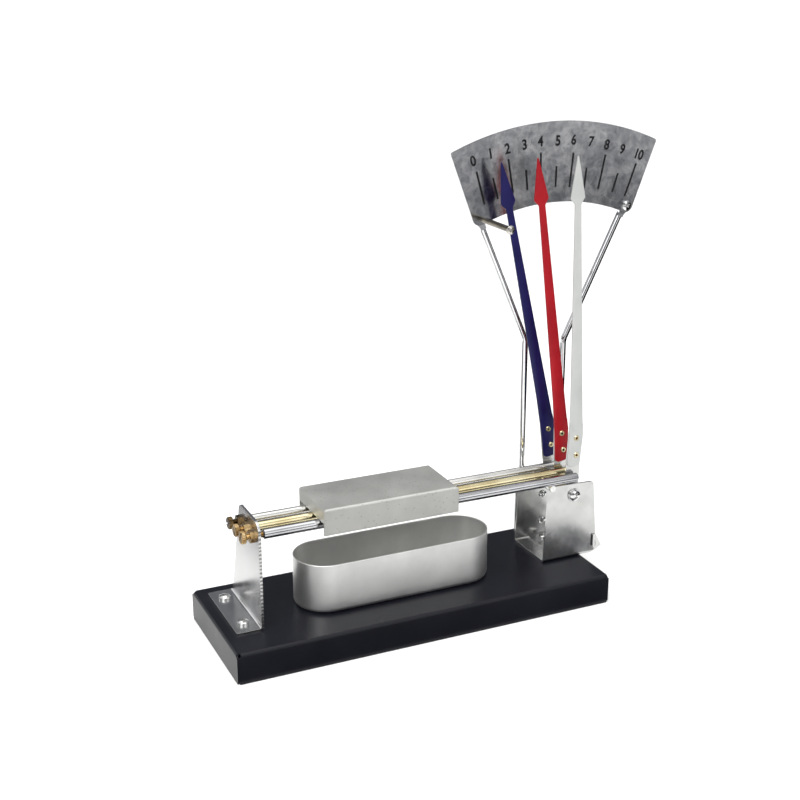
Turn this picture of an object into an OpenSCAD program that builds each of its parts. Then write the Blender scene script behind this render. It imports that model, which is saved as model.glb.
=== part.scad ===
// Linear expansion apparatus: three metal rods under a heat hood push three pointers over a scale.
// Origin: middle of the base's front lower edge. X runs along the rods, Y away from the user, Z up.

/* [Base tray] */
// Length of the base
base_l = 251; // [240:1:300]
// Width of the base
base_w = 91; // [87:1:130]
// Height of the base
base_h = 19.5; // [16:0.1:30]
// Thickness of the base's sheet
base_t = 1.2; // [0.8:0.1:1.7]
// Outside radius of the base's folds
base_r = 2; // [1.5:0.1:5]
// Radius of the relief hole at each corner
relief_r = 2.1; // [1.5:0.1:3]
// Width of the seam at each corner
seam_w = 0.4; // [0.2:0.1:0.8]
// Radius of the flanges' lower corners
flange_r = 2; // [1:0.1:5]

/* [Rods] */
// Diameter of the three rods
rod_d = 6; // [5:0.1:7]
// Distance between neighbouring rods
rod_pitch = 11.8; // [11:0.1:14]
// Distance of the middle rod behind the base's centre line
rod_behind = -1; // [-3:0.1:2]
// Height of the rods' axis above the base
rod_rise = 57.1; // [52:0.1:62]
// Gap from the upright to the rear rod
rod_gap = 2.4; // [2:0.1:4]
// Bevel at the rods' ends
rod_bevel = 0.6; // [0.3:0.1:1]

/* [Left bracket] */
// Distance from the base's left end to the bracket's foot
foot_inset = 7.1; // [5:0.1:10]
// Length of the foot, up to the upright's outer face
foot_l = 15.4; // [14:0.1:17]
// Distance from the foot's left end to its screws
foot_screw_in = 7.4; // [6:0.1:8]
// Thickness of the left bracket's sheet
upright_t = 1.6; // [1:0.1:2.5]
// Inside radius of the left bracket's fold
upright_r = 1.6; // [1:0.1:3]
// Reach of the left bracket in front of the middle rod
upright_front = 22.7; // [19:0.1:25]
// Reach of the foot behind the middle rod
foot_back = 35.4; // [30:0.1:40]
// Reach of the upright's top behind the middle rod
upright_top_back = 12.4; // [10:0.1:20]
// Height of the upright's top above the rods' axis
upright_over = 11.3; // [8:0.1:20]
// Corner radius at the front of the upright's top
upright_corner_front = 7; // [3:0.1:8]
// Corner radius at the back of the upright's top
upright_corner_back = 4; // [2:0.1:6]
// Distance from the middle rod to the foot's front screw
foot_screw_front = 11.5; // [9:0.1:15]
// Distance from the middle rod to the foot's rear screw
foot_screw_back = 24.2; // [15:0.1:27]

/* [Thumb screws] */
// Diameter of the adjusting thread
adjust_d = 4; // [3:0.1:4.4]
// Diameter of the knurled head
thumb_d = 7.6; // [6:0.1:9]
// Thickness of the knurled head
thumb_h = 3; // [2:0.1:4]
// Ridges round the knurled head
thumb_ridges = 24; // [16:1:32]
// Depth of the knurling
knurl_depth = 0.3; // [0.1:0.05:0.5]
// Length of the thread, from the head to its tip
adjust_l = 15.1; // [14:0.1:17]
// Distance from the upright to the knurled heads
head_stand = 4.7; // [4:0.1:7]
// Width of the screwdriver slot
slot_w = 0.9; // [0.5:0.1:1.5]
// Width of the lock nuts across their flats
lock_af = 7; // [6:0.1:8]
// Thickness of the lock nuts
lock_h = 2.2; // [1.5:0.1:2.6]

/* [Heat hood] */
// Length of the hood
hood_l = 89; // [60:1:110]
// Width of the hood
hood_w = 42.2; // [38:0.1:50]
// Height of the hood
hood_h = 16.4; // [12:0.1:22]
// Thickness of the hood's sheet
hood_t = 1.2; // [0.8:0.1:2]
// Outside radius of the hood's folds
hood_r = 1.8; // [1.3:0.1:3]
// Height of the hood's top above the rods
hood_over = 9.1; // [6:0.1:12]
// Distance of the hood's centre from the base's centre
hood_x = -16.9; // [-25:0.1:0]

/* [Fuel trough] */
// Length of the trough
trough_l = 130.2; // [90:0.1:150]
// Width of the trough
trough_w = 40; // [30:0.1:50]
// Height of the trough
trough_h = 32; // [20:0.1:38]
// Thickness of the trough's wall
trough_t = 0.9; // [0.6:0.1:1.5]
// Outside radius of the trough's lower edge
trough_r = 3; // [1.5:0.1:5]
// Distance of the trough's centre from the base's centre
trough_x = -8.2; // [-20:0.1:5]

/* [Right bracket] */
// Distance from the base's right end to the pivot
pivot_inset = 8.7; // [6:0.1:12]
// Thickness of the right bracket's sheet
side_t = 1.2; // [0.8:0.1:1.6]
// Inside radius of the right bracket's folds
side_r = 1; // [0.5:0.1:2]
// Clear gap between the bracket's two sides
side_gap = 36.9; // [36:0.1:42]
// Reach of the bracket's foot to the left of the pivot
side_left = 21.2; // [19:0.1:26]
// Reach of the bracket's foot to the right of the pivot
side_right = 19.4; // [15:0.1:24]
// Slope of the left and right edges, as a reach in the side's height
side_lean = 2.3; // [0:0.1:4]
// Height of the sides' left corner above the pivot
side_top_left = 8.4; // [7:0.1:8.9]
// Height of the sides' right corner above the pivot
side_top_right = 7.3; // [6:0.1:8.9]
// Corner radius at the sides' tops
side_corner_top = 2.5; // [1:0.1:4]
// Corner radius at the bracket's lower right
side_corner_low = 6; // [2:0.1:8]
// Reach of the folded ear at the lower right
ear_l = 9; // [5:0.1:12]
// Height of the folded ear
ear_h = 14; // [8:0.1:20]
// Angle that the ear is folded back
ear_turn = 30; // [10:1:45]
// Diameter of the pin that the rods rest on
rest_d = 4.4; // [3:0.1:5]
// Distance from the pivot back to the rest pin
rest_back = 16.1; // [12:0.1:17]
// Thickness of the pad plate on the bracket's foot
pad_t = 1.2; // [0.8:0.1:2]
// Reach of the pad plate to the left of the pivot
pad_left = 11.6; // [8:0.1:16]
// Reach of the pad plate to the right of the pivot
pad_right = 7; // [5:0.1:8]
// Distance from the pivot back to the bracket's screws
side_screw_back = 3; // [0:0.1:5]
// Distance from the middle rod to the bracket's front screw
side_screw_front_y = 4.5; // [2:0.1:6]
// Distance from the middle rod to the bracket's rear screw
side_screw_back_y = 20; // [12:0.1:21]

/* [Pivot] */
// Height of the rods' axis above the pivot
lever = 12.4; // [11.5:0.1:14]
// Diameter of the pivot screw
pivot_d = 4; // [3:0.1:5]
// Length of the pointers' hubs
hub_l = 4.6; // [3:0.1:5]
// Diameter of the pointers' hubs
hub_d = 7; // [6:0.1:8]
// Diameter of the spacer tubes
spacer_d = 6; // [5.2:0.1:7]
// Diameter of the pin that joins a carrier to its rod
drive_d = 2; // [1.5:0.1:2.2]
// Reach of that pin into the rod
drive_l = 2.1; // [1.5:0.1:2.5]
// Play in the end and side of a running fit
side_play = 0.1; // [0.05:0.01:0.15]

/* [Pointers] */
// Distance from the pivot to a pointer's tip
tip_r = 221.6; // [190:0.1:224]
// Distance from the pivot to the arrowhead's widest place
shoulder_r = 194.8; // [192:0.1:205]
// Width of the arrowhead
head_w = 10.2; // [7:0.1:12]
// Distance from the pivot to the arrowhead's lower end
neck_r = 190.9; // [175:0.1:194]
// Width of the stem under the arrowhead
neck_w = 4.3; // [3:0.1:6]
// Distance from the pivot to the stem's lower end
stem_r = 62; // [55:0.1:80]
// Width of the stem at its lower end
stem_w = 8.8; // [6:0.1:10]
// Distance from the pivot to the grip's widest place
grip_r = 41; // [36:0.1:46]
// Width of the grip
grip_w = 10.2; // [9:0.1:12]
// Distance from the pivot to the blade's lower end
blade_foot_r = 19.2; // [18.5:0.1:22]
// Width of the blade's lower end
blade_foot_w = 9.2; // [8:0.1:10]
// Corner radius of the blade's lower end
blade_corner = 3; // [1:0.1:4]
// Sideways offset of the blade's centre line from the pivot
blade_side = 3.2; // [0:0.1:4]
// Thickness of the blade at its crown
blade_t = 1; // [0.8:0.1:1.3]
// Radius of the blade's crown
crown_r = 26; // [20:1:60]
// Distance from the pivot to the crown's lower end, below which the grip is flat
crown_foot_r = 44; // [42:0.1:48]
// Radius of the crown's rounded lower end
crown_end_r = 4.8; // [4:0.1:6]
// Thickness of the carriers
carrier_t = 1; // [0.8:0.1:1.4]
// Width of the carriers
carrier_w = 10; // [9.6:0.1:11]
// Angle of the blue pointer at rest
angle_blue = -12.7; // [-14:0.1:-10]
// Angle of the red pointer at rest
angle_red = -7.8; // [-10:0.1:-5]
// Angle of the white pointer at rest
angle_white = -2.3; // [-5:0.1:0]
// Diameter of the eyelets' flanges
eyelet_d = 3.7; // [3:0.1:4.2]
// Diameter of the eyelets' bores
eyelet_bore = 1.7; // [1.2:0.1:1.9]
// Distances from the pivot to the eyelets
eyelet_r = [26.8, 38.5]; // [24:0.1:40]

/* [Scale] */
// Thickness of the scale plate
scale_t = 0.8; // [0.6:0.1:1.2]
// Radius of the plate's upper edge
scale_out_r = 185.2; // [178:0.1:190]
// Radius of the plate's lower edge
scale_in_r = 134.5; // [126:0.1:136]
// Height of the plate's arcs' centre above the pivot
scale_rise = 51.4; // [45:0.1:53]
// Sideways offset of the plate from the pivot
scale_side = 1.1; // [-1:0.1:2]
// Height above the pivot of the point that the plate's ends point at
ends_rise = 24.9; // [20:0.1:28]
// Slant of the plate's ends
scale_half = 20.8; // [20.4:0.1:22]
// Radius of the plate's upper corners
scale_corner = 1.5; // [1:0.1:2.5]
// Radius of the plate's lower corners
low_corner = 5; // [2:0.1:6]
// Distance of the plate's holes from its centre line
lug_x = 53.5; // [50:0.1:54]
// Height of the plate's holes above the pivot
lug_rise = 179.7; // [179:0.1:183]
// Diameter of the stop pin
stop_d = 3.6; // [3.2:0.1:4.5]
// Reach of the stop pin in front of the plate
stop_l = 38; // [37.5:0.1:48]
// Diameter of the stop pin's head
stop_head_d = 5.4; // [5:0.1:8]
// Diameter of the scale screw's head
scale_head_d = 6.4; // [6:0.1:8]

/* [Support rods] */
// Diameter of the two support rods
support_d = 4; // [3:0.1:4.4]
// Distance of the left support rod from the pivot
support_left = 16.1; // [14:0.1:17]
// Distance of the right support rod from the pivot
support_right = 12.8; // [11:0.1:14]
// Heights above the pivot of the left and the right bend
support_bend = [96.8, 93.3]; // [70:0.1:110]
// Radius of the bends
support_bend_r = 9; // [6:0.1:14]
// Height of the rods' lower ends above the base
support_foot = 5; // [3:0.1:8]
// Radius of the eyes at the rods' tops
eye_r = 4.4; // [3.8:0.1:5]
// Thickness of the eyes
eye_t = 1.6; // [1:0.1:2]
// Length of the flattened end, from the eye to the round rod
eye_l = 6; // [5.4:0.1:14]
// Thickness of the clamp that holds the support rods
clamp_t = 1.2; // [0.8:0.1:2]
// Height of the clamp
clamp_h = 32; // [26:0.1:36]
// Width of the clamp's outer edges
clamp_edge = 1.6; // [1.2:0.1:2.4]
// Height of the clamp's lower screw above the base
clamp_screw_low = 12; // [10:0.1:14]
// Distance between the clamp's screws
clamp_screw_pitch = 19.2; // [16:0.1:20]

/* [Fasteners] */
// Diameter of the bracket screws
screw_d = 4; // [3:0.1:4.5]
// Diameter of the bracket screws' heads
screw_head_d = 7.4; // [7:0.1:8.6]
// Height of the bracket screws' heads
screw_head_h = 2.7; // [2:0.1:3.4]
// Diameter of the pivot screw's head
pivot_head_d = 7.2; // [6:0.1:8]
// Height of the pivot screw's head
pivot_head_h = 2.5; // [1.8:0.1:3]
// Width of the large nuts across their flats
nut_af = 7; // [6.5:0.1:8]
// Thickness of the large nuts
nut_h = 3.2; // [2.4:0.1:4]
// Diameter of the small screws
small_d = 3; // [2.5:0.1:3.2]
// Diameter of the small screws' heads
small_head_d = 5.6; // [5:0.1:6.4]
// Height of the small screws' heads
small_head_h = 2; // [1.4:0.1:2.4]
// Width of the small nuts across their flats
small_af = 5.5; // [5:0.1:6]
// Thickness of the small nuts
small_nut_h = 2.4; // [1.8:0.1:3]
// Thickness of the washers
washer_t = 0.8; // [0.5:0.1:1]
// Diameter of the washers
washer_d = 8.6; // [8:0.1:9.5]
// Length of thread that shows past a nut
thread_over = 1; // [0.5:0.1:2]
// Radial clearance of the running fits
fit = 0.05; // [0.02:0.01:0.09]
// Radial clearance of the screw holes
hole_play = 0.15; // [0.1:0.05:0.3]

/* [Hidden] */
$fn = 48;

// Y of the base's middle and of the middle rod
mid_y = base_w / 2 - base_t / 2;
rod_y = mid_y + rod_behind;
// Channels: 0 is the front one (steel rod, white pointer), 1 the middle one, 2 the rear one
channel_y = [for (i = [-1:1]) rod_y + i * rod_pitch];
channel_angle = [angle_white, angle_red, angle_blue];
rod_z = base_h + rod_rise;
pivot_x = base_l / 2 - pivot_inset;
pivot_z = rod_z - lever;
// Y of a carrier's front face, and of its hub's front end
carrier_gap = 0.3;
hub_front = 1.5;
function carrier_y(i) = channel_y[i] + rod_d / 2 + carrier_gap;
function hub_y(i) = carrier_y(i) - hub_front;
// The bracket's inner and outer faces, and the plane of the scale's back
side_y0 = hub_y(0) - carrier_gap;
side_y1 = side_y0 + side_gap;
back_y = side_y1 + side_t;
scale_x = pivot_x + scale_side;
// The upright's outer and inner faces
upright_x0 = -base_l / 2 + foot_inset + foot_l;
upright_x1 = upright_x0 + upright_t;
function drive_x(i) = pivot_x + lever * sin(channel_angle[i]);
// Each rod ends a fixed distance past its drive pin
rod_end_past = 2.2;
function rod_right(i) = drive_x(i) + rod_end_past;
// All three have the length that leaves the rear one its gap to the upright
rod_l = rod_right(2) - upright_x1 - rod_gap;
function rod_left(i) = rod_right(i) - rod_l;
// The adjusting screws' tips end inside the rods, in sockets a little deeper
tip_x = upright_x0 - head_stand + adjust_l;
tip_play = 0.1;
e = 0.01;

// Corners of a polygon replaced by arcs: each point is [x, y, radius]
function unit(v) = v / norm(v);
function arc_points(p, a, b, r, n = 8) =
    r == 0 ? [p] :
    let (u = unit(a - p), v = unit(b - p), half = acos(u * v) / 2,
        c = p + unit(u + v) * r / sin(half), s = p + u * r / tan(half), t = p + v * r / tan(half),
        a0 = atan2(s[1] - c[1], s[0] - c[0]), a1 = atan2(t[1] - c[1], t[0] - c[0]),
        turn = a1 - a0, sweep = turn > 180 ? turn - 360 : turn < -180 ? turn + 360 : turn)
    [for (k = [0:n]) c + r * [cos(a0 + sweep * k / n), sin(a0 + sweep * k / n)]];
function rounded(q) = let (n = len(q))
    [for (i = [0:n - 1]) each arc_points([q[i][0], q[i][1]],
        [q[(i + n - 1) % n][0], q[(i + n - 1) % n][1]], [q[(i + 1) % n][0], q[(i + 1) % n][1]], q[i][2])];

// Draws a flat outline in X and Z, and makes it t thick along Y from y0 on
module upright_sheet(y0, t) translate([0, y0 + t, 0]) rotate([90, 0, 0]) linear_extrude(t) children();
// Turns a solid drawn along Z so that it points along Y
module along_y(x, y, z) translate([x, y, z]) rotate([-90, 0, 0]) children();
module along_x(x, y, z) translate([x, y, z]) rotate([0, 90, 0]) children();
module tube(d, bore, h) difference() {
    cylinder(d = d, h = h);
    translate([0, 0, -1]) cylinder(d = bore, h = h + 2);
}
module hex_nut(af, bore, h) difference() {
    cylinder(d = af / cos(30), h = h, $fn = 6);
    translate([0, 0, -1]) cylinder(d = bore, h = h + 2);
}
// A pan head with a cross recess: its seat is at Z 0 and its crown points down
module pan_head(d, h) {
    dome = h * 0.45;
    ball = (pow(d / 2, 2) + pow(dome, 2)) / (2 * dome);
    cross_l = d * 0.52;
    cross_w = d * 0.13;
    cross_depth = h * 0.55;
    mirror([0, 0, 1]) difference() {
        intersection() {
            cylinder(d = d, h = h);
            translate([0, 0, h - ball]) sphere(r = ball);
        }
        for (turn = [45, 135]) translate([0, 0, h - cross_depth / 2 + e]) rotate(turn)
            cube([cross_l, cross_w, cross_depth], center = true);
    }
}
// A pan screw along Z: the head is below Z 0 and the shank l long above it
module pan_screw(head_d, head_h, d, l) {
    pan_head(head_d, head_h);
    cylinder(d = d, h = l);
}

// Section of a folded sheet: a rectangle with its two upper corners rounded
module arch(w, h, r) {
    translate([-w / 2, 0]) square([w, h - r]);
    translate([-w / 2 + r, 0]) square([w - 2 * r, h]);
    for (s = [-1, 1]) translate([s * (w / 2 - r), h - r]) circle(r);
}
module folded_block(l, w, h, r) intersection() {
    rotate([90, 0, 90]) linear_extrude(l, center = true) arch(w, h, r);
    rotate([90, 0, 0]) linear_extrude(w, center = true) arch(l, h, r);
}
// A tray folded from sheet on four sides, open below
module folded_tray(l, w, h, t, r) difference() {
    folded_block(l, w, h, r);
    translate([0, 0, -t]) folded_block(l - 2 * t, w - 2 * t, h, r - t);
}

// Base: folded tray with relief holes, seams and screw holes
foot_screws = [for (reach = [-foot_screw_front, foot_screw_back])
    [-base_l / 2 + foot_inset + foot_screw_in, rod_y + reach]];
side_screws = [[pivot_x - side_screw_back, rod_y - side_screw_front_y],
    [pivot_x - side_screw_back, rod_y + side_screw_back_y]];
module corner_relief() {
    inset = 0.3 * base_r;
    reach = base_t + base_r;
    translate([inset, inset, base_h - inset]) sphere(r = relief_r);
    rotate(45) translate([-2 * reach, -seam_w / 2, -1]) cube([4 * reach, seam_w, base_h - inset + 1]);
}
// What a rounded lower flange corner leaves out, in a corner at the origin
module flange_corner() for (turn = [0, 1]) mirror([turn, -turn, 0]) translate([0, base_t + e, 0])
    rotate([90, 0, 0]) linear_extrude(base_t + 1) difference() {
        translate([-1, -1]) square(flange_r + 1);
        translate([flange_r, flange_r]) circle(flange_r);
    }
module base_tray() color("#26272c") difference() {
    translate([0, mid_y, 0]) folded_tray(base_l, base_w, base_h, base_t, base_r);
    for (sx = [0, 1], sy = [0, 1]) translate([0, mid_y, 0]) mirror([sx, 0, 0]) mirror([0, sy, 0])
        translate([-base_l / 2, -base_w / 2, 0]) {
            corner_relief();
            flange_corner();
        }
    for (p = concat(foot_screws, side_screws))
        translate([p[0], p[1], base_h - 2 * base_t]) cylinder(d = screw_d + 2 * hole_play, h = 3 * base_t);
}

// Left bracket: an angle whose upright carries the three adjusting screws
module left_bracket() color("#b4b5b6") {
    x0 = -base_l / 2 + foot_inset;
    bend = upright_t + upright_r;
    top = rod_z + upright_over;
    foot_y0 = rod_y - upright_front;
    foot_y1 = rod_y + foot_back;
    difference() {
        intersection() {
            translate([0, foot_y1, 0]) rotate([90, 0, 0]) linear_extrude(foot_y1 - foot_y0) {
                translate([x0, base_h]) square([upright_x1 - bend - x0, upright_t]);
                translate([upright_x0, base_h + bend]) square([upright_t, top - base_h - bend]);
                translate([upright_x1 - bend, base_h + bend]) difference() {
                    circle(bend);
                    circle(upright_r);
                    translate([-2 * bend, -bend - 1]) square([2 * bend, 3 * bend]);
                    translate([-e, 0]) square([2 * bend, 2 * bend]);
                }
            }
            rotate([90, 0, 90]) linear_extrude(base_l, center = true) polygon(rounded([
                [foot_y0, base_h, 0], [foot_y1, base_h, 0], [foot_y1, base_h + upright_t, 0],
                [foot_y1 - bend, base_h + bend, 0],
                [rod_y + upright_top_back, top, upright_corner_back],
                [foot_y0, top, upright_corner_front]]));
        }
        for (y = channel_y) along_x(upright_x0 - 1, y, rod_z) cylinder(d = adjust_d + 2 * fit, h = upright_t + 2);
        for (p = foot_screws) translate([p[0], p[1], base_h - 1])
            cylinder(d = screw_d + 2 * hole_play, h = upright_t + 2);
    }
}
module left_bracket_screws() color("#c9cacc") for (p = foot_screws)
    translate([p[0], p[1], base_h + upright_t]) mirror([0, 0, 1])
        pan_screw(screw_head_d, screw_head_h, screw_d, upright_t + base_t + nut_h + thread_over);
module left_bracket_nuts() color("#b7b9bc") for (p = foot_screws)
    translate([p[0], p[1], base_h - base_t - nut_h]) hex_nut(nut_af, screw_d + 2 * fit, nut_h);

// Lock nuts on the adjusting screws, against the upright's outer face
module lock_nuts() color("#b08d4e") for (y = channel_y)
    along_x(upright_x0 - lock_h, y, rod_z) rotate(30) hex_nut(lock_af, adjust_d + 2 * fit, lock_h);

// Thumb screw: knurled head with a slot, and a thread that pushes its rod
module thumb_screw(i) color("#b5894a") {
    r = thumb_d / 2;
    n = 2 * thumb_ridges;
    along_x(tip_x - adjust_l, channel_y[i], rod_z) {
        cylinder(d = adjust_d, h = adjust_l);
        mirror([0, 0, 1]) difference() {
            linear_extrude(thumb_h) polygon([for (k = [0:n - 1])
                (r - knurl_depth * (k % 2)) * [cos(360 * k / n), sin(360 * k / n)]]);
            translate([-r, -slot_w / 2, thumb_h - 1]) cube([2 * r, slot_w, 2]);
        }
    }
}
module thumb_screw_front() thumb_screw(0);
module thumb_screw_middle() thumb_screw(1);
module thumb_screw_rear() thumb_screw(2);

// Rod: bevelled ends, a socket for its screw and a slot for its drive pin
slot_play = 0.15;
module rod(i) {
    r = rod_d / 2;
    drop = lever * (1 - cos(17));
    difference() {
        along_x(rod_left(i), channel_y[i], rod_z) {
            cylinder(r1 = r - rod_bevel, r2 = r, h = rod_bevel);
            translate([0, 0, rod_bevel]) cylinder(r = r, h = rod_l - 2 * rod_bevel);
            translate([0, 0, rod_l - rod_bevel]) cylinder(r1 = r, r2 = r - rod_bevel, h = rod_bevel);
        }
        along_x(rod_left(i) - 1, channel_y[i], rod_z)
            cylinder(d = adjust_d + 2 * fit, h = tip_x + tip_play - rod_left(i) + 1);
        translate([drive_x(i) - drive_d / 2 - slot_play,
            carrier_y(i) - drive_l - 2 * slot_play, rod_z - drop - drive_d / 2 - slot_play])
            cube([drive_d + 2 * slot_play, r + drive_l, drop + drive_d + 2 * slot_play]);
    }
}
module rod_steel() color("#c8cacd") rod(0);
module rod_brass() color("#b6a06a") rod(1);
module rod_aluminium() color("#a3a5a6") rod(2);

// Heat hood: folded box, open below, with short ends that sit on the rods
hood_top = rod_z + rod_d / 2 + hood_over;
module heat_hood() color("#a9aaa8") difference() {
    translate([hood_x, rod_y, hood_top - hood_h]) folded_tray(hood_l, hood_w, hood_h, hood_t, hood_r);
    translate([hood_x - hood_l / 2 - 1, rod_y - hood_w / 2 + hood_t, hood_top - hood_h - 1])
        cube([hood_l + 2, hood_w - 2 * hood_t, hood_h - hood_over + side_play + 1]);
}

// Fuel trough: drawn oval pan, open above
module pan_half() {
    r = trough_w / 2;
    difference() {
        union() {
            square([r - trough_r, trough_h / 2]);
            translate([0, trough_r]) square([r, trough_h - trough_r - trough_t / 2]);
            translate([r - trough_r, trough_r]) circle(trough_r);
        }
        square([r - trough_r, trough_t]);
        translate([-1, trough_r]) square([r - trough_t + 1, trough_h]);
        translate([-1, trough_t]) square([r - trough_r + 1, trough_h]);
        translate([r - trough_r, trough_r]) circle(trough_r - trough_t);
    }
    square([r - trough_r, trough_t]);
    translate([r - trough_t / 2, trough_h - trough_t / 2]) circle(trough_t / 2);
}
module fuel_trough() color("#b9bbbc") {
    straight = trough_l - trough_w;
    translate([trough_x, rod_y, base_h]) {
        for (s = [0, 1]) mirror([s, 0, 0]) translate([straight / 2, 0, 0])
            rotate(-90) rotate_extrude(angle = 180) intersection() {
                pan_half();
                square(2 * trough_h);
            }
        rotate([90, 0, 90]) linear_extrude(straight, center = true) for (s = [0, 1]) mirror([s, 0])
            intersection() {
                pan_half();
                square(2 * trough_h);
            }
    }
}

// Right bracket: a folded channel that carries the pivot, the rest pin and the scale's supports
rest_x = pivot_x - rest_back;
rest_z = rod_z - rod_d / 2 - rest_d / 2 - side_play;
clamp_x = pivot_x - 0.6;
clamp_screws_z = [base_h + clamp_screw_low, base_h + clamp_screw_low + clamp_screw_pitch];
module side_section(w, t, r) difference() {
    arch(w, 2 * side_gap, r + t);
    arch(w - 2 * t, 2 * side_gap - t, r);
}
module right_bracket() color("#b9bbbd") {
    w = side_gap + 2 * side_t;
    x0 = pivot_x - side_left;
    x1 = pivot_x + side_right;
    difference() {
        union() {
            intersection() {
                translate([0, side_y0 - side_t + w / 2, base_h + 2 * side_gap]) mirror([0, 0, 1])
                    rotate([90, 0, 90]) linear_extrude(base_l, center = false) side_section(w, side_t, side_r);
                upright_sheet(side_y0 - side_t - 1, w + 2) polygon(rounded([
                    [x0, base_h, 0], [x1, base_h, side_corner_low],
                    [x1 - 2 * side_lean, pivot_z + side_top_right, side_corner_top],
                    [x0 + side_lean, pivot_z + side_top_left, side_corner_top]]));
            }
            translate([x1 - side_lean / 2, side_y0 - side_t, base_h]) rotate(ear_turn)
                upright_sheet(0, side_t) polygon([[-3, side_corner_low], [0, 2], [ear_l, 2.5],
                    [0, ear_h], [-3, ear_h]]);
        }
        along_y(pivot_x, side_y0 - side_t - 1, pivot_z) cylinder(d = pivot_d + 2 * hole_play, h = w + 2);
        along_y(rest_x, side_y0 - side_t - 1, rest_z) cylinder(d = rest_d + 2 * fit, h = w + 2);
        translate([rest_x - rest_d / 4, side_y0 - side_t - 1, rest_z]) cube([rest_d / 2, w + 2, rest_d]);
        for (z = clamp_screws_z) along_y(clamp_x, side_y1 - 1, z) cylinder(d = small_d + 2 * hole_play, h = side_t + 2);
        for (p = side_screws) translate([p[0], p[1], base_h - 1])
            cylinder(d = screw_d + 2 * hole_play, h = side_t + 2);
    }
}
module pad_plate() color("#9fa1a3") difference() {
    y0 = side_y0 + side_r + 0.6;
    y1 = side_y1 - side_r;
    translate([pivot_x - pad_left, y0, base_h + side_t]) cube([pad_left + pad_right, y1 - y0, pad_t]);
    for (p = side_screws) translate([p[0], p[1], base_h]) cylinder(d = screw_d + 2 * hole_play, h = 3 * pad_t);
}
module right_bracket_screws() color("#c9cacc") for (p = side_screws)
    translate([p[0], p[1], base_h + side_t + pad_t]) mirror([0, 0, 1])
        pan_screw(small_head_d, small_head_h, screw_d, pad_t + side_t + base_t + nut_h + thread_over);
module right_bracket_nuts() color("#b7b9bc") for (p = side_screws)
    translate([p[0], p[1], base_h - base_t - nut_h]) hex_nut(nut_af, screw_d + 2 * fit, nut_h);
// The rest pin stands proud in front and ends inside the rear side, clear of the support rod
rest_over = 0.7;
module rest_pin() color("#c2c4c6")
    along_y(rest_x, side_y0 - side_t - rest_over, rest_z)
        cylinder(d = rest_d, h = side_gap + 2 * side_t + rest_over - side_play);

// Pivot: one long screw with a hub and a spacer tube for each pointer
module pivot_screw() color("#c9cacc")
    along_y(pivot_x, side_y0 - side_t - washer_t, pivot_z)
        pan_screw(pivot_head_d, pivot_head_h, pivot_d, side_gap + 2 * side_t + 2 * washer_t + nut_h + thread_over);
module pivot_washers() color("#8d8f92") for (y = [side_y0 - side_t - washer_t, back_y])
    along_y(pivot_x, y, pivot_z) tube(washer_d, pivot_d + 2 * hole_play, washer_t);
module pivot_nut() color("#b7b9bc")
    along_y(pivot_x, back_y + washer_t, pivot_z) hex_nut(nut_af, pivot_d + 2 * fit, nut_h);
module spacer_tubes() color("#b7a06b") for (i = [0:2]) {
    y0 = hub_y(i) + hub_l + side_play;
    y1 = i < 2 ? hub_y(i + 1) - side_play : side_y1;
    along_y(pivot_x, y0, pivot_z) tube(spacer_d, pivot_d + 2 * fit, y1 - y0);
}

// Everything that turns with pointer i is drawn upright round the pivot and then leaned over
module leaned(i) translate([pivot_x, 0, pivot_z]) rotate([0, channel_angle[i], 0]) children();
module hub(i) color("#b89a5a") leaned(i) along_y(0, hub_y(i), 0) tube(hub_d, pivot_d + 2 * fit, hub_l);
module hub_white() hub(0);
module hub_red() hub(1);
module hub_blue() hub(2);

eyelet_side = 0.3 * carrier_w;
eyelet_tube = 0.62 * eyelet_d;
module eyelet_holes(y0, t) for (z = eyelet_r)
    along_y(eyelet_side, y0 - 1, z) cylinder(d = eyelet_tube + 2 * fit, h = t + 2);
// Carrier: strip from the hub up behind the blade, with the pin that its rod moves
module carrier(i) color("#8f9193") leaned(i) {
    y = carrier_y(i);
    foot_w = 0.94 * carrier_w;
    mid = 0.25 * blade_side;
    lean = 0.57 * blade_side;
    top = 1.085 * grip_r;
    difference() {
        upright_sheet(y, carrier_t) union() {
            circle(d = foot_w);
            polygon(rounded([
                [-0.9 * carrier_w / 2, 0, 0], [0.9 * carrier_w / 2, 0, 0],
                [mid + carrier_w / 2, 1.25 * lever, 0],
                [mid + lean + 0.88 * carrier_w / 2, top, 0.2 * carrier_w],
                [mid + lean - 0.82 * carrier_w / 2, top, 0.2 * carrier_w],
                [mid - carrier_w / 2, 1.5 * lever, 0]]));
        }
        along_y(0, y - 1, 0) cylinder(d = hub_d, h = carrier_t + 2);
        eyelet_holes(y, carrier_t);
    }
    along_y(0, y - drive_l, lever) cylinder(d = drive_d, h = drive_l + e);
}
module carrier_white() carrier(0);
module carrier_red() carrier(1);
module carrier_blue() carrier(2);

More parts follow.
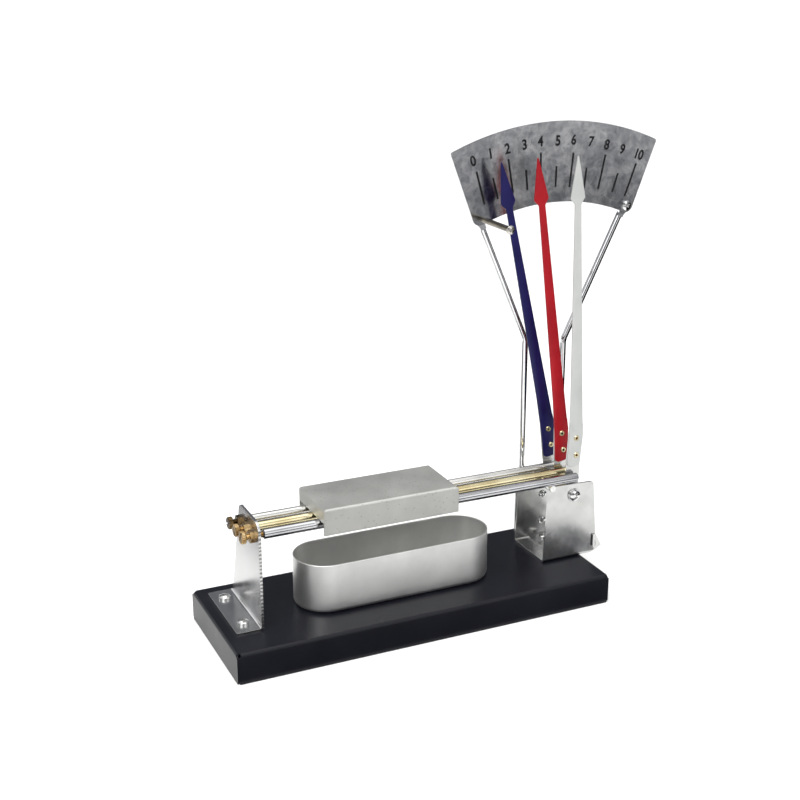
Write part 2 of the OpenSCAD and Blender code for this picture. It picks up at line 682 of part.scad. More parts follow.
// Pointer blade: arrowhead, stem that widens downwards, and a grip with a rounded foot
module blade(i) leaned(i) {
    y = carrier_y(i) - blade_t;
    m = blade_side;
    foot = 0.25 * blade_side;
    head_r = 0.08 * head_w;
    difference() {
        intersection() {
            upright_sheet(y, blade_t) polygon(rounded([
                [m, tip_r, head_r / 3], [m - head_w / 2, shoulder_r, head_r], [m - neck_w / 2, neck_r, head_r],
                [m - stem_w / 2, stem_r, 0], [0.93 * m - grip_w / 2, grip_r, 0],
                [foot - blade_foot_w / 2, blade_foot_r, blade_corner],
                [foot + blade_foot_w / 2, blade_foot_r, blade_corner],
                [0.93 * m + grip_w / 2, grip_r, 0], [m + stem_w / 2, stem_r, 0],
                [m + neck_w / 2, neck_r, head_r], [m + head_w / 2, shoulder_r, head_r]]));
            union() {
                translate([m, y + crown_r, crown_foot_r]) cylinder(r = crown_r, h = tip_r, $fn = 240);
                upright_sheet(y - 1, blade_t + 2) difference() {
                    translate([m - grip_w, 0]) square([2 * grip_w, crown_foot_r + crown_end_r]);
                    translate([m, crown_foot_r + crown_end_r]) circle(crown_end_r);
                    translate([m - stem_w, crown_foot_r + crown_end_r - e]) square([2 * stem_w, 1]);
                }
            }
        }
        eyelet_holes(y, blade_t);
    }
}
module pointer_white() color("#e4e6e4") blade(0);
module pointer_red() color("#aa1a26") blade(1);
module pointer_blue() color("#23215a") blade(2);

// Eyelets: brass tubes with a rolled flange at both ends
module eyelets(i) color("#b8a878") leaned(i) for (z = eyelet_r)
    along_y(eyelet_side, carrier_y(i) - blade_t, z) difference() {
        union() {
            cylinder(d = eyelet_tube, h = blade_t + carrier_t);
            translate([0, 0, -0.4]) cylinder(d1 = eyelet_d - 0.5, d2 = eyelet_d, h = 0.4);
            translate([0, 0, blade_t + carrier_t]) cylinder(d1 = eyelet_d, d2 = eyelet_d - 0.5, h = 0.4);
        }
        translate([0, 0, -1]) cylinder(d = eyelet_bore, h = blade_t + carrier_t + 2);
    }
module eyelets_white() eyelets(0);
module eyelets_red() eyelets(1);
module eyelets_blue() eyelets(2);

// Scale plate: an arched sheet with a hole in each lower corner
arc_z = pivot_z + scale_rise;
lug_z = pivot_z + lug_rise;
function edge_point(s, r) = [scale_x + s * r * sin(scale_half), pivot_z + ends_rise + r * cos(scale_half)];
// Distance along an end of the plate, from the point it aims at, at which it meets an arc of radius r
function end_reach(r) = let (rise = scale_rise - ends_rise)
    rise * cos(scale_half) + sqrt(pow(r, 2) - pow(rise * sin(scale_half), 2));
module scale_outline() {
    corner = edge_point(1, end_reach(scale_out_r));
    low = edge_point(1, end_reach(scale_in_r));
    half_out = atan2(corner[0] - scale_x, corner[1] - arc_z);
    half_in = atan2(low[0] - scale_x, low[1] - arc_z);
    // The lower arc stops short of the corners, whose rounding starts there
    arc_half = half_in - asin(1.4 * low_corner / scale_in_r);
    n = 48;
    arc_out = [for (k = [1:n - 1]) let (a = half_out * (1 - 2 * k / n))
        [scale_x + scale_out_r * sin(a), arc_z + scale_out_r * cos(a), 0]];
    arc_in = [for (k = [0:n]) let (a = arc_half * (2 * k / n - 1))
        [scale_x + scale_in_r * sin(a), arc_z + scale_in_r * cos(a), 0]];
    difference() {
        polygon(rounded(concat(
            [[corner[0], corner[1], scale_corner]], arc_out,
            [[2 * scale_x - corner[0], corner[1], scale_corner],
                [2 * scale_x - low[0], low[1], low_corner]], arc_in,
            [[low[0], low[1], low_corner]])));
        for (s = [-1, 1]) translate([scale_x + s * lug_x, lug_z]) circle(d = small_d + 2 * hole_play);
    }
}
module scale_plate() color("#8b8d90") upright_sheet(back_y - scale_t, scale_t) scale_outline();

// Stop pin: a headed pin in front of the plate that the pointers lean against at their lowest
module stop_pin() color("#77756e") along_y(scale_x - lug_x, back_y - scale_t - stop_l, lug_z) {
    pan_head(stop_head_d, small_head_h);
    cylinder(d = stop_d, h = stop_l);
    cylinder(d = small_d, h = stop_l + scale_t + eye_t + small_nut_h + thread_over);
}
module scale_screw() color("#d0d2d4") along_y(scale_x + lug_x, back_y - scale_t, lug_z)
    pan_screw(scale_head_d, small_head_h, small_d, scale_t + eye_t + small_nut_h + thread_over);
module scale_nuts() color("#b7b9bc") for (s = [-1, 1])
    along_y(scale_x + s * lug_x, back_y + eye_t, lug_z) hex_nut(small_af, small_d + 2 * fit, small_nut_h);

// Support rod: round bar, bent once, with a flattened eye behind the plate
support_y = back_y + support_d / 2;
module support_rod(s, reach) color("#c6c8ca") {
    x = pivot_x + s * reach;
    bend_z = pivot_z + support_bend[s > 0 ? 1 : 0];
    eye_x = scale_x + s * lug_x;
    slant = atan2(s * (eye_x - x), lug_z - bend_z);
    run = norm([eye_x - x, lug_z - bend_z]);
    set_back = support_bend_r * tan(slant / 2);
    // The straight parts are a hair thinner than the bend and end inside it
    straight_r = support_d / 2 - e;
    lap = 0.25;
    translate([x, support_y, 0]) {
        translate([0, 0, base_h + support_foot])
            cylinder(r = straight_r, h = bend_z - set_back - base_h - support_foot + lap);
        translate([s * support_bend_r, 0, bend_z - set_back]) rotate([90, 0, 0])
            rotate(s > 0 ? 180 - slant : 0) rotate_extrude(angle = slant)
                translate([support_bend_r, 0]) circle(d = support_d);
        translate([0, 0, bend_z]) rotate([0, s * slant, 0])
            translate([0, 0, set_back - lap]) cylinder(r = straight_r, h = run - set_back - eye_l + 1);
    }
    translate([x, 0, bend_z]) rotate([0, s * slant, 0]) translate([0, 0, run]) upright_sheet(back_y, eye_t)
        difference() {
            union() {
                circle(r = eye_r);
                polygon([[-eye_r, 0], [-support_d / 2, -eye_l], [-support_d / 2, -eye_l - 2],
                    [support_d / 2, -eye_l - 2], [support_d / 2, -eye_l], [eye_r, 0]]);
            }
            circle(d = small_d + 2 * hole_play);
        }
}
module support_rod_left() support_rod(-1, support_left);
module support_rod_right() support_rod(1, support_right);

// Clamp: saddle plate behind the bracket that holds both support rods
module support_clamp() color("#a7a9ab") {
    xs = [pivot_x - support_left, pivot_x + support_right];
    edge = support_d / 2 + clamp_t + clamp_edge;
    translate([0, 0, base_h + support_foot + 1]) difference() {
        linear_extrude(clamp_h) difference() {
            union() {
                translate([xs[0] - edge, back_y]) square([xs[1] - xs[0] + 2 * edge, clamp_t]);
                for (x = xs) translate([x, support_y]) circle(r = support_d / 2 + clamp_t);
            }
            for (x = xs) {
                translate([x, support_y]) circle(r = support_d / 2 + fit);
                translate([x - support_d / 2 - fit, back_y - clamp_t - support_d])
                    square([support_d + 2 * fit, clamp_t + support_d * 1.5]);
            }
            translate([xs[0] - 2 * edge, back_y - 4 * edge]) square([xs[1] - xs[0] + 4 * edge, 4 * edge]);
        }
        for (z = clamp_screws_z) along_y(clamp_x, back_y - 1, z - base_h - support_foot - 1)
            cylinder(d = small_d + 2 * hole_play, h = clamp_t + 2);
    }
}
module clamp_screws() color("#c9cacc") for (z = clamp_screws_z)
    along_y(clamp_x, side_y1, z)
        pan_screw(small_head_d - 0.6, small_head_h, small_d, side_t + clamp_t + small_nut_h + thread_over);
module clamp_nuts() color("#b7b9bc") for (z = clamp_screws_z)
    along_y(clamp_x, back_y + clamp_t, z) hex_nut(small_af, small_d + 2 * fit, small_nut_h);

base_tray();
left_bracket();
left_bracket_screws();
left_bracket_nuts();
lock_nuts();
thumb_screw_front();
thumb_screw_middle();
thumb_screw_rear();
rod_steel();
rod_brass();
rod_aluminium();
heat_hood();
fuel_trough();
right_bracket();
pad_plate();
right_bracket_screws();
right_bracket_nuts();
rest_pin();
pivot_screw();
pivot_washers();
pivot_nut();
spacer_tubes();
hub_white();
hub_red();
hub_blue();
carrier_white();
carrier_red();
carrier_blue();
pointer_white();
pointer_red();
pointer_blue();
eyelets_white();
eyelets_red();
eyelets_blue();
scale_plate();
stop_pin();
scale_screw();
scale_nuts();
support_rod_left();
support_rod_right();
support_clamp();
clamp_screws();
clamp_nuts();
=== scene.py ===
# Looks of the linear expansion apparatus. Sizes are in metres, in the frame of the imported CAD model.
import math
import bpy
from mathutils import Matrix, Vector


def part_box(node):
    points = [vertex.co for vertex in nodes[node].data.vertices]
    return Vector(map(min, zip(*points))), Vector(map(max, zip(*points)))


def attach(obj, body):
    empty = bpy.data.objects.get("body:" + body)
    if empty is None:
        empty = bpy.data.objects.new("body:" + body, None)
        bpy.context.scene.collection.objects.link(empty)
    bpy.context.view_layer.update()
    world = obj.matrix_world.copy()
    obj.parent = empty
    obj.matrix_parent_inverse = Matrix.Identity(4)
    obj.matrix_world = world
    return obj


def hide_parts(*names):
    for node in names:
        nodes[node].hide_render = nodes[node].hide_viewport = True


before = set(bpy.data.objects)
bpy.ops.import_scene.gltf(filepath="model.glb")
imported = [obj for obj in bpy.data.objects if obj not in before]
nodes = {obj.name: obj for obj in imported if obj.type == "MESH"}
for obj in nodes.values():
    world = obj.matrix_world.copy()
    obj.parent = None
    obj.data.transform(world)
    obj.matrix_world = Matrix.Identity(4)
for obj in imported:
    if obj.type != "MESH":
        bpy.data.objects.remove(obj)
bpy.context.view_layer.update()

# Studio: a white paper floor under a sky that is bright overhead, with dark walls at eye level.
# The camera stands where the photograph was taken: left of the front, a little above.


def linear(code):
    """Turns an sRGB hex code into the linear colour that Blender mixes in."""
    parts = [int(code[i:i + 2], 16) / 255 for i in (1, 3, 5)]
    return [c / 12.92 if c <= 0.04045 else ((c + 0.055) / 1.055) ** 2.4 for c in parts] + [1.0]


def wire(tree, node, settings=None, links=None):
    """Sets a node's properties, inputs and colour stops, and links its inputs to sockets or nodes."""
    for name, value in (settings or {}).items():
        if name == "stops":
            line = node.color_ramp.elements
            while len(line) < len(value):
                line.new(0.5)
            for spot, (place, code) in zip(line, value):
                spot.position = place
                spot.color = linear(code)
        elif isinstance(name, int) or name in node.inputs:
            node.inputs[name].default_value = value
        else:
            setattr(node, name, value)
    for name, source in (links or {}).items():
        socket = source if isinstance(source, bpy.types.NodeSocket) else source.outputs[0]
        tree.links.new(socket, node.inputs[name])
    return node


def add(tree, kind, settings=None, links=None):
    """Adds a node with its settings and links."""
    return wire(tree, tree.nodes.new(kind), settings, links)


def new_finish(name):
    """A new material with its tree, its shader and the place on the object in metres."""
    made = bpy.data.materials.new(name)
    made.use_nodes = True
    tree = made.node_tree
    place = add(tree, "ShaderNodeTexCoord").outputs["Object"]
    return made, tree, tree.nodes["Principled BSDF"], place


def grains(mm):
    """Scale of a noise or cell pattern whose grains are this many millimetres wide."""
    return 1000 / mm


# Sky: shades from straight down at 0, over the horizon at 0.5, to straight up at 1
sky = bpy.data.worlds.new("studio_sky")
bpy.context.scene.world = sky
sky.use_nodes = True
tree = sky.node_tree
tree.nodes.clear()
up = add(tree, "ShaderNodeSeparateXYZ", links={0: add(tree, "ShaderNodeTexCoord").outputs["Generated"]})
height = add(tree, "ShaderNodeMapRange", {"From Min": -1, "From Max": 1}, {"Value": up.outputs["Z"]})
shade = add(tree, "ShaderNodeValToRGB", {"stops": (
    (0.0, "#ffffff"), (0.518, "#f8f8f8"),
    (0.535, "#2e2f34"), (0.60, "#505258"), (0.68, "#94969a"),
    (0.80, "#cccdce"), (0.9, "#f6f6f6"))}, {"Fac": height})
glow = add(tree, "ShaderNodeBackground", {"Strength": 1.0}, {"Color": shade})
add(tree, "ShaderNodeOutputWorld", links={"Surface": glow})

# Floor: so wide that its edge is at the horizon from every side
floor_wide = 80
bpy.ops.object.select_all(action="DESELECT")
bpy.ops.mesh.primitive_plane_add(size=floor_wide, location=(0, 0, 0))
floor = bpy.context.object
floor.name = "studio_floor"
paper, tree, shader, place = new_finish("studio_paper")
fleck = add(tree, "ShaderNodeTexNoise", {"Scale": grains(1.11), "Detail": 3}, {"Vector": place})
tone = add(tree, "ShaderNodeValToRGB", {"stops": ((0.3, "#f3f3f2"), (0.7, "#f8f8f7"))}, {"Fac": fleck})
wire(tree, shader, {"Roughness": 0.9, "Specular IOR Level": 0.1}, {"Base Color": tone})
floor.data.materials.append(paper)

# Lights: a broad soft sun, and softboxes with the place, turn, size and power of each
sun_turn = (24, -20, 0)
sun_spread = 50
bpy.ops.object.light_add(type="SUN", rotation=[math.radians(a) for a in sun_turn])
sun = bpy.context.object
sun.name = "soft_sun"
sun.data.energy = 1.95
sun.data.angle = math.radians(sun_spread)
for name, spot, turn, size, power in (
        ("left_softbox", (-0.9, -0.66, 0.9), (50, 0, -52), 0.9, 4),
        ("rear_left_softbox", (-0.75, 1.0, 0.35), (-72, 0, 38), 0.6, 1.2),
        ("front_softbox", (0.5, -1.26, 0.8), (60, 0, 20), 0.8, 2.5),
        ("top_softbox", (0.1, 0.24, 1.3), (0, 0, 0), 1.0, 4)):
    bpy.ops.object.light_add(type="AREA", location=spot, rotation=[math.radians(a) for a in turn])
    lamp = bpy.context.object
    lamp.name = name
    lamp.data.size = size
    lamp.data.energy = power

# Cards: boards that show in shiny pieces only, with the colour, middle, turn and size of each. They give the
# painted front and the scale a grey to mirror, and the chromed rods their black and white streaks.
for name, code, spot, turn, wide, tall in (
        ("card_before_base", "#64656b", (0.0, -0.0265, 0.001), (0, 0, 0), 0.34, 0.049),
        ("card_left_floor", "#8e8e90", (-0.376, 0.325, 0.001), (0, 0, 0), 0.448, 0.55),
        ("card_back", "#66686e", (0.4, 1.6, 0.68), (90, 0, 0), 4.0, 1.2),
        ("card_right_floor", "#08080a", (0.85, -0.05, 0.001), (0, 0, 0), 1.1, 1.5),
        ("card_right_wall", "#101012", (1.4, 0.0, 0.25), (90, 0, 90), 1.3, 0.5),
        ("card_far_floor", "#b4b5b7", (0.3, -1.3, 0.0008), (0, 0, 0), 3.0, 1.6),
        ("card_far_bright", "#ffffff", (1.36, -1.5, 0.001), (0, 0, 0), 0.4, 0.9),
        ("card_far_dark", "#303134", (0.93, -1.13, 0.001), (0, 0, 0), 0.26, 0.32)):
    bpy.ops.object.select_all(action="DESELECT")
    bpy.ops.mesh.primitive_plane_add(size=1, location=spot, rotation=[math.radians(a) for a in turn])
    card = bpy.context.object
    card.name = name
    card.scale = (wide, tall, 1)
    bpy.ops.object.transform_apply(location=True, rotation=True, scale=True)
    board, tree, shader, place = new_finish(name + "_board")
    cloud = add(tree, "ShaderNodeTexNoise", {"Scale": grains(200), "Detail": 3}, {"Vector": place})
    shade = add(tree, "ShaderNodeMapRange",
                {"From Min": 0.35, "From Max": 0.65, "To Min": 0.7, "To Max": 1.2}, {"Value": cloud})
    lit = add(tree, "ShaderNodeEmission", {"Color": linear(code)}, {"Strength": shade})
    tree.links.new(lit.outputs[0], tree.nodes["Material Output"].inputs["Surface"])
    card.data.materials.append(board)
    card.visible_camera = False
    card.visible_shadow = False
    card.visible_diffuse = False

# Camera: its place, the degrees it looks down and to the right, and its lens, fitted to the base's corners
stand = (-0.3270, -0.6642, 0.4068)
look_down = 18.715
look_right = 24.612
bpy.ops.object.camera_add(location=stand,
                          rotation=(math.radians(90 - look_down), 0, math.radians(-look_right)))
camera = bpy.context.object
camera.data.lens = 60.98
camera.data.sensor_width = 36
camera.data.clip_start = 0.05
camera.data.clip_end = 50
bpy.context.scene.camera = camera
bpy.context.scene.view_settings.view_transform = "Standard"

# Base: tray folded from 1.2 mm sheet steel and sprayed with black stove enamel.
# The enamel is smooth and half gloss, a little blue, with faint orange peel in the sheen.
# Specks of dust lie on it, drawn larger than they are so that they show.


def dress(material, *names):
    """Gives CAD nodes a material."""
    for name in names:
        held = nodes[name].data.materials
        held.clear()
        held.append(material)


enamel, tree, shader, place = new_finish("black_stove_enamel")
cloud = add(tree, "ShaderNodeTexNoise", {"Scale": grains(45.5), "Detail": 5}, {"Vector": place})
peel = add(tree, "ShaderNodeTexNoise", {"Scale": grains(1.54), "Detail": 2}, {"Vector": place})
dust = add(tree, "ShaderNodeTexVoronoi", {"Scale": grains(2.38), "Randomness": 1.0}, {"Vector": place})
speck = add(tree, "ShaderNodeMath", {"operation": "LESS_THAN", 1: 0.035}, {0: dust})
faint = add(tree, "ShaderNodeMath", {"operation": "MULTIPLY", 1: 0.4}, {0: speck})
tone = add(tree, "ShaderNodeValToRGB", {"stops": ((0.3, "#0d0e14"), (0.7, "#14151c"))}, {"Fac": cloud})
dusty = add(tree, "ShaderNodeMix", {"data_type": "RGBA", 7: linear("#3a3b40")}, {0: faint, 6: tone})
gloss = add(tree, "ShaderNodeMapRange", {"To Min": 0.22, "To Max": 0.38}, {"Value": cloud})
soft = add(tree, "ShaderNodeBevel", {"samples": 4, "Radius": 0.0004})
skin = add(tree, "ShaderNodeBump", {"Strength": 0.2, "Distance": 0.00005}, {"Height": peel, "Normal": soft})
wire(tree, shader, {"Specular IOR Level": 0.24},
     {"Base Color": dusty.outputs[2], "Roughness": gloss, "Normal": skin})
dress(enamel, "base_tray")

# Left bracket: angle of cold-rolled sheet with bright zinc plate, its edges left as they were sawn.
# Plating is a soft mirror with fine marks along the rolling direction, which is upright here.


def bands(mm):
    """Scale of a wave whose bands are this many millimetres apart: scale 1 gives tau / 20 metres."""
    return 1000 * math.tau / 20 / mm


bright, tree, shader, place = new_finish("bright_zinc_plate")
drawn = add(tree, "ShaderNodeMapping", {"Scale": (1, 1, 0.06)}, {"Vector": place})
lines = add(tree, "ShaderNodeTexNoise", {"Scale": grains(0.385), "Detail": 3}, {"Vector": drawn})
cloud = add(tree, "ShaderNodeTexNoise", {"Scale": grains(16.7), "Detail": 5}, {"Vector": place})
tone = add(tree, "ShaderNodeValToRGB", {"stops": ((0.3, "#c2c2c1"), (0.7, "#d2d2d2"))}, {"Fac": cloud})
# Saw marks on the edge that faces the front, drawn 2.4 mm apart so that they show
saw = add(tree, "ShaderNodeTexWave",
          {"bands_direction": "Z", "Scale": bands(2.417), "Distortion": 3}, {"Vector": place})
facing = add(tree, "ShaderNodeSeparateXYZ", links={0: add(tree, "ShaderNodeNewGeometry").outputs["Normal"]})
edge = add(tree, "ShaderNodeMath", {"operation": "LESS_THAN", 1: -0.9}, {0: facing.outputs["Y"]})
sawn = add(tree, "ShaderNodeMath", {"operation": "MULTIPLY"}, {0: edge, 1: saw.outputs["Fac"]})
marked = add(tree, "ShaderNodeMix", {"data_type": "RGBA", 7: linear("#6d6d6c")}, {0: sawn, 6: tone})
gloss = add(tree, "ShaderNodeMapRange", {"To Min": 0.16, "To Max": 0.3}, {"Value": cloud})
soft = add(tree, "ShaderNodeBevel", {"samples": 4, "Radius": 0.0003})
skin = add(tree, "ShaderNodeBump", {"Strength": 0.2, "Distance": 0.00002}, {"Height": lines, "Normal": soft})
wire(tree, shader, {"Metallic": 1.0}, {"Base Color": marked.outputs[2], "Roughness": gloss, "Normal": skin})
dress(bright, "left_bracket")

# Screws, nuts and the rest pin: turned and rolled steel with bright nickel plate.
# The plate is nearly a mirror with small ripples, and the cross recess stays sharp.
nickel, tree, shader, place = new_finish("bright_nickel_plate")
ripple = add(tree, "ShaderNodeTexNoise", {"Scale": grains(1.43), "Detail": 3}, {"Vector": place})
tone = add(tree, "ShaderNodeValToRGB", {"stops": ((0.3, "#c8c8c7"), (0.7, "#e2e2e1"))}, {"Fac": ripple})
gloss = add(tree, "ShaderNodeMapRange", {"To Min": 0.05, "To Max": 0.14}, {"Value": ripple})
soft = add(tree, "ShaderNodeBevel", {"samples": 4, "Radius": 0.0002})
skin = add(tree, "ShaderNodeBump",
           {"Strength": 0.15, "Distance": 0.00004}, {"Height": ripple, "Normal": soft})
wire(tree, shader, {"Metallic": 1.0}, {"Base Color": tone, "Roughness": gloss, "Normal": skin})
dress(nickel, "left_bracket_screws", "left_bracket_nuts", "right_bracket_screws", "right_bracket_nuts",
      "rest_pin", "pivot_screw", "pivot_nut", "scale_screw", "scale_nuts", "clamp_screws", "clamp_nuts")

# Rods: 6 mm round bar. The front one is polished steel, the middle one brass and the rear one aluminium.
# Each was drawn through a die, which leaves very fine lines along its length.
for node, name, dark, pale, rough in (
        ("rod_steel", "polished_steel_bar", "#aaabad", "#c2c2c4", (0.06, 0.12)),
        ("rod_brass", "drawn_brass_bar", "#c8b98e", "#e2d8b4", (0.1, 0.2)),
        ("rod_aluminium", "drawn_aluminium_bar", "#c2c1bd", "#d8d7d4", (0.16, 0.28))):
    bar, tree, shader, place = new_finish(name)
    drawn = add(tree, "ShaderNodeMapping", {"Scale": (0.02, 1, 1)}, {"Vector": place})
    lines = add(tree, "ShaderNodeTexNoise", {"Scale": grains(0.3125), "Detail": 3}, {"Vector": drawn})
    stain = add(tree, "ShaderNodeTexNoise", {"Scale": grains(22.2), "Detail": 6}, {"Vector": place})
    tone = add(tree, "ShaderNodeValToRGB", {"stops": ((0.35, dark), (0.65, pale))}, {"Fac": stain})
    gloss = add(tree, "ShaderNodeMapRange", {"To Min": rough[0], "To Max": rough[1]}, {"Value": stain})
    skin = add(tree, "ShaderNodeBump", {"Strength": 0.04, "Distance": 0.00002}, {"Height": lines})
    wire(tree, shader, {"Metallic": 1.0}, {"Base Color": tone, "Roughness": gloss, "Normal": skin})
    dress(bar, node)

# Adjusting screws: turned brass, with an M4 thread of 0.7 mm pitch and a knurled, slotted head.
# Handling has darkened them to a mottled warm brown, and the rear one is coloured darker, almost black, by
# its distance behind the base's front.
turned, tree, shader, place = new_finish("handled_turned_brass")
tarnish = add(tree, "ShaderNodeTexNoise", {"Scale": grains(6.25), "Detail": 5}, {"Vector": place})
tone = add(tree, "ShaderNodeValToRGB", {"stops": (
    (0.32, "#6e5433"), (0.52, "#b39669"), (0.72, "#dac49a"))}, {"Fac": tarnish})
gloss = add(tree, "ShaderNodeMapRange", {"To Min": 0.14, "To Max": 0.34}, {"Value": tarnish})
grain = add(tree, "ShaderNodeTexNoise", {"Scale": grains(0.25), "Detail": 2}, {"Vector": place})
skin = add(tree, "ShaderNodeBump", {"Strength": 0.15, "Distance": 0.00002}, {"Height": grain})
# The colour darkens, almost to black, from the middle screw to the rear one, between these distances behind
# the base's front
darkening_from = 0.047
darkest_from = 0.054
across = add(tree, "ShaderNodeSeparateXYZ", links={0: place})
rear = add(tree, "ShaderNodeMapRange",
           {"From Min": darkening_from, "From Max": darkest_from, "To Max": 0.75}, {"Value": across.outputs["Y"]})
# Darker towards the rear: the near-black colour is mixed in by the distance behind the base's front
rear_darkened = add(tree, "ShaderNodeMix", {"data_type": "RGBA", 7: linear("#2a2217")}, {0: rear, 6: tone})
wire(tree, shader, {"Metallic": 1.0}, {"Base Color": rear_darkened.outputs[2], "Roughness": gloss, "Normal": skin})

# Sizes of the head with its rim, knurl and slot
head_t = 0.003
rim_lines = 72
rim_bevel = 0.0004
ring_wide = 0.0005
knurl_in = 0.93
slot_deep = 0.0009
slot_wide = 0.0009
bar_long = 0.012
# Sizes of the thread: a tooth is two flanks and a crest, together one pitch long
pitch = 0.0007
root_r = 0.00165
tooth_tall = 0.00033
flank = 0.0003
crest = 0.0001
coil_steps = 24
sharp_angle = 28
for node, body, slot_turn in (
        ("thumb_screw_front", "front_screw", 25),
        ("thumb_screw_middle", "middle_screw", -40),
        ("thumb_screw_rear", "rear_screw", 70)):
    low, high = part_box(node)
    mid_y = (low.y + high.y) / 2
    mid_z = (low.z + high.z) / 2
    head_r = (high.y - low.y) / 2
    head_x = low.x + head_t / 2
    # Head: a disc whose rim edges are bevelled, with grooves cut by moving every third line of the rim in
    bpy.ops.object.select_all(action="DESELECT")
    bpy.ops.mesh.primitive_cylinder_add(vertices=rim_lines, radius=head_r, depth=head_t,
                                        end_fill_type="NGON", location=(head_x, mid_y, mid_z),
                                        rotation=(0, math.radians(90), 0))
    head = bpy.context.object
    head.name = node + "_detailed"
    bpy.ops.object.transform_apply(location=True, rotation=True, scale=True)
    bpy.ops.object.mode_set(mode="EDIT")
    bpy.ops.mesh.select_mode(type="FACE")
    bpy.ops.mesh.select_all(action="DESELECT")
    bpy.ops.object.mode_set(mode="OBJECT")
    for face in head.data.polygons:
        face.select = abs(face.normal.x) > 0.9
    bpy.ops.object.mode_set(mode="EDIT")
    bpy.ops.mesh.inset(thickness=ring_wide)
    bpy.ops.mesh.inset(thickness=rim_bevel)
    bpy.ops.mesh.select_all(action="DESELECT")
    bpy.ops.object.mode_set(mode="OBJECT")
    for point in head.data.vertices:
        rise = point.co.z - mid_z
        aside = point.co.y - mid_y
        if math.hypot(aside, rise) > head_r - ring_wide / 2:
            point.co.x -= math.copysign(rim_bevel, point.co.x - head_x)
            line = round(math.atan2(rise, aside) / math.tau * rim_lines)
            if line % 3 == 0:
                point.co.y = mid_y + aside * knurl_in
                point.co.z = mid_z + rise * knurl_in
    # Slot: cut across the head's outer face with a bar
    bpy.ops.object.select_all(action="DESELECT")
    bpy.ops.mesh.primitive_cube_add(size=1, location=(low.x, mid_y, mid_z),
                                    rotation=(math.radians(slot_turn), 0, 0))
    bar = bpy.context.object
    bar.scale = (2 * slot_deep, slot_wide, bar_long)
    bpy.ops.object.transform_apply(location=True, rotation=True, scale=True)
    bpy.context.view_layer.objects.active = head
    cut = head.modifiers.new("slot", "BOOLEAN")
    cut.operation = "DIFFERENCE"
    cut.object = bar
    bpy.ops.object.modifier_apply(modifier=cut.name)
    bpy.data.objects.remove(bar)
    # Thread: one tooth's outline is screwed along the axis by the pitch for each turn
    bpy.ops.object.select_all(action="DESELECT")
    bpy.ops.mesh.primitive_plane_add(size=0.0001, location=(0, 0, 0))
    thread = bpy.context.object
    bpy.ops.object.mode_set(mode="EDIT")
    bpy.ops.mesh.select_mode(type="VERT")
    bpy.ops.mesh.select_all(action="SELECT")
    bpy.ops.mesh.merge(type="CENTER")
    bpy.ops.transform.translate(value=(low.x + head_t - flank, 0, root_r))
    for step, rise in ((flank, tooth_tall), (crest, 0.0), (flank, -tooth_tall)):
        bpy.ops.mesh.extrude_region_move(TRANSFORM_OT_translate={"value": (step, 0, rise)})
    bpy.ops.object.mode_set(mode="OBJECT")
    coil = thread.modifiers.new("coil", "SCREW")
    coil.axis = "X"
    coil.steps = coil_steps
    coil.render_steps = coil_steps
    coil.screw_offset = pitch
    coil.iterations = int((high.x - low.x - head_t) / pitch)
    coil.use_merge_vertices = True
    bpy.ops.object.modifier_apply(modifier=coil.name)
    bpy.ops.object.mode_set(mode="EDIT")
    bpy.ops.mesh.select_all(action="SELECT")
    bpy.ops.mesh.remove_doubles(threshold=0.00001)
    bpy.ops.mesh.select_all(action="DESELECT")
    bpy.ops.mesh.select_mode(type="EDGE")
    bpy.ops.mesh.select_non_manifold(extend=False, use_wire=False, use_boundary=True,
                                     use_multi_face=False, use_non_contiguous=False, use_verts=False)
    bpy.ops.mesh.fill()
    bpy.ops.mesh.select_all(action="SELECT")
    bpy.ops.mesh.normals_make_consistent(inside=False)
    bpy.ops.transform.translate(value=(0, mid_y, mid_z))
    bpy.ops.object.mode_set(mode="OBJECT")
    bpy.ops.object.select_all(action="DESELECT")
    thread.select_set(True)
    head.select_set(True)
    bpy.context.view_layer.objects.active = head
    bpy.ops.object.join()
    bpy.ops.object.shade_smooth_by_angle(angle=math.radians(sharp_angle))
    head.data.materials.clear()
    head.data.materials.append(turned)
    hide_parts(node)
    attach(head, body)
dress(turned, "lock_nuts")

# Heat hood: box folded from 1.2 mm aluminium and blasted with grit, which leaves it matt and grey.
# The grit leaves pits, drawn 3 mm apart so that they show.
blasted, tree, shader, place = new_finish("blasted_aluminium_sheet")
grit = add(tree, "ShaderNodeTexNoise",
           {"Scale": grains(0.385), "Detail": 4, "Roughness": 0.7}, {"Vector": place})
pits = add(tree, "ShaderNodeTexVoronoi", {"Scale": grains(2.94)}, {"Vector": place})
cloud = add(tree, "ShaderNodeTexNoise",
            {"Scale": grains(26.3), "Detail": 7, "Roughness": 0.6}, {"Vector": place})
pit = add(tree, "ShaderNodeMath", {"operation": "LESS_THAN", 1: 0.14}, {0: pits})
faint = add(tree, "ShaderNodeMath", {"operation": "MULTIPLY", 1: 0.6}, {0: pit})
tone = add(tree, "ShaderNodeValToRGB", {"stops": ((0.3, "#b4b4b0"), (0.7, "#c6c6c2"))}, {"Fac": cloud})
pitted = add(tree, "ShaderNodeMix", {"data_type": "RGBA", 7: linear("#90908a")}, {0: faint, 6: tone})
gloss = add(tree, "ShaderNodeMapRange", {"To Min": 0.46, "To Max": 0.62}, {"Value": cloud})
soft = add(tree, "ShaderNodeBevel", {"samples": 4, "Radius": 0.0005})
skin = add(tree, "ShaderNodeBump", {"Strength": 0.5, "Distance": 0.00008}, {"Height": grit, "Normal": soft})
wire(tree, shader, {"Metallic": 1.0}, {"Base Color": pitted.outputs[2], "Roughness": gloss, "Normal": skin})
dress(blasted, "heat_hood")

